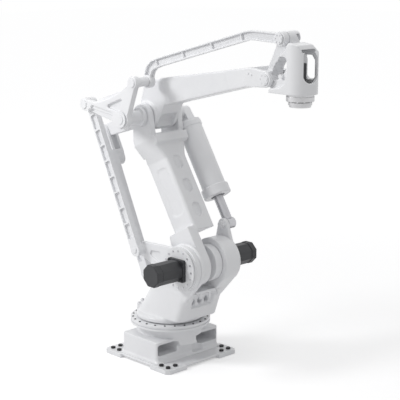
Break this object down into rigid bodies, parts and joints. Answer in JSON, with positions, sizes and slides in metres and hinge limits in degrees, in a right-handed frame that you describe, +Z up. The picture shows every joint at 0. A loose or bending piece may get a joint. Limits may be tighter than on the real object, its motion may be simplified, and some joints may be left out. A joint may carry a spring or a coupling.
{
  "type": "palletising robot",
  "caption": "Articulated four-axis palletising robot with lower and upper arms, levelling rods, a balancer and a turning tool flange on a square foot.",
  "frame": {"origin": "centre of the foot plate's underside", "axes": "+Z up, +X forward towards the tool flange, +Y to the balancer side"},
  "size_m": [2.3868, 1.109, 2.7855],
  "materials": {
    "arm_paint": "semi-gloss paint",
    "base_paint": "semi-gloss paint",
    "ring_steel": "machined",
    "bright_steel": "ground",
    "black_bolt": "black oxide",
    "motor_black": "satin paint"
  },
  "bodies": {
    "base": {"base_plate": "base_paint", "anchor_bolts": "bright_steel", "pedestal": "base_paint", "base_socket_box": "arm_paint", "slew_bearing_outer": "ring_steel", "slew_bearing_bolts": "black_bolt"},
    "turret": {"slew_bearing_inner": "ring_steel", "turret_casting": "base_paint", "turret_shelf": "arm_paint", "slew_motor": "motor_black", "ear_plate": "arm_paint", "near_drive_ring": "arm_paint", "near_ring_bolts": "bright_steel", "near_reducer": "ring_steel", "near_motor": "motor_black", "near_motor_bolts": "black_bolt", "far_drum": "arm_paint", "far_reducer": "ring_steel", "far_motor": "motor_black", "far_motor_bolts": "black_bolt", "balancer_foot_pin": "bright_steel"},
    "lower_arm": {"lower_arm": "arm_paint", "arm_hub_bolts": "black_bolt", "elbow_pin": "bright_steel", "elbow_far_cover": "arm_paint", "elbow_near_cover": "arm_paint", "balancer_head_pin": "bright_steel"},
    "crank": {"crank": "arm_paint"},
    "crank_pin": {"crank_pin": "bright_steel"},
    "push_rod": {"push_rod": "arm_paint"},
    "triangle": {"triangle_plate": "arm_paint", "triangle_pins": "bright_steel"},
    "level_rod": {"level_rod": "arm_paint"},
    "upper_link": {"upper_link": "arm_paint"},
    "upper_arm": {"upper_arm": "arm_paint", "tail_pin": "bright_steel", "wrist_pin": "bright_steel", "wrist_fork_bolts": "bright_steel"},
    "wrist": {"wrist_casting": "arm_paint", "wrist_cross_tube": "arm_paint", "wrist_link_pin": "bright_steel", "wrist_motor": "motor_black", "wrist_reducer": "ring_steel", "wrist_reducer_bolts": "bright_steel", "wrist_link_bolts": "bright_steel"},
    "tool_flange": {"tool_flange": "ring_steel"},
    "balancer_barrel": {"balancer_barrel": "arm_paint", "balancer_top_cap": "arm_paint", "balancer_mouth_cap": "arm_paint"},
    "balancer_rod": {"balancer_rod": "bright_steel"}
  },
  "joints": [
    {"name": "turret_turn", "type": "hinge", "parent": "base", "child": "turret", "pos_m": [0, 0, 0.342], "axis": [0, 0, 1], "range_deg": [-165, 165]},
    {"name": "lower_arm_swing", "type": "hinge", "parent": "turret", "child": "lower_arm", "pos_m": [0.413, 0, 0.868], "axis": [0, 1, 0], "range_deg": [-10, 50]},
    {"name": "crank_turn", "type": "hinge", "parent": "turret", "child": "crank", "pos_m": [0.413, 0, 0.868], "axis": [0, 1, 0], "range_deg": [-5, 35]},
    {"name": "crank_pin_turn", "type": "hinge", "parent": "crank", "child": "crank_pin", "pos_m": [-0.23624, 0, 0.66579], "axis": [0, 1, 0], "range_deg": [-36, 6]},
    {"name": "push_rod_turn", "type": "hinge", "parent": "crank_pin", "child": "push_rod", "pos_m": [-0.23624, 0, 0.66579], "axis": [0, 1, 0], "range_deg": [-11, 51]},
    {"name": "triangle_level", "type": "hinge", "parent": "lower_arm", "child": "triangle", "pos_m": [-0.1441, 0, 2.02041], "axis": [0, 1, 0], "range_deg": [-51, 11]},
    {"name": "level_rod_turn", "type": "hinge", "parent": "turret", "child": "level_rod", "pos_m": [-0.05773, 0, 0.94509], "axis": [0, 1, 0], "range_deg": [-11, 51]},
    {"name": "upper_link_turn", "type": "hinge", "parent": "triangle", "child": "upper_link", "pos_m": [-0.00812, 0, 2.32438], "axis": [0, 1, 0], "range_deg": [-6, 36]},
    {"name": "upper_arm_swing", "type": "hinge", "parent": "triangle", "child": "upper_arm", "pos_m": [-0.1441, 0, 2.02041], "axis": [0, 1, 0], "range_deg": [-6, 36]},
    {"name": "wrist_level", "type": "hinge", "parent": "upper_arm", "child": "wrist", "pos_m": [1.16966, 0, 2.4296], "axis": [0, 1, 0], "range_deg": [-36, 6]},
    {"name": "flange_turn", "type": "hinge", "parent": "wrist", "child": "tool_flange", "pos_m": [1.40966, 0, 2.2386], "axis": [0, 0, -1], "range_deg": [-350, 350]},
    {"name": "balancer_barrel_turn", "type": "hinge", "parent": "lower_arm", "child": "balancer_barrel", "pos_m": [-0.1441, 0.29, 2.02041], "axis": [0, 1, 0], "range_deg": [-8, 24]},
    {"name": "balancer_rod_turn", "type": "hinge", "parent": "turret", "child": "balancer_rod", "pos_m": [0.4, 0.29, 1.15], "axis": [0, 1, 0], "range_deg": [-18, 74]}
  ],
  "couplings": [
    {"joint": "crank_pin_turn", "follows": "crank_turn", "ratio": -1},
    {"joint": "push_rod_turn", "follows": "lower_arm_swing", "ratio": 1},
    {"joint": "triangle_level", "follows": "lower_arm_swing", "ratio": -1},
    {"joint": "level_rod_turn", "follows": "lower_arm_swing", "ratio": 1},
    {"joint": "upper_link_turn", "follows": "crank_turn", "ratio": 1},
    {"joint": "upper_arm_swing", "follows": "crank_turn", "ratio": 1},
    {"joint": "wrist_level", "follows": "crank_turn", "ratio": -1},
    {"joint": "balancer_barrel_turn", "follows": "lower_arm_swing", "ratio": 0.262},
    {"joint": "balancer_rod_turn", "follows": "lower_arm_swing", "ratio": 1.262}
  ]
}
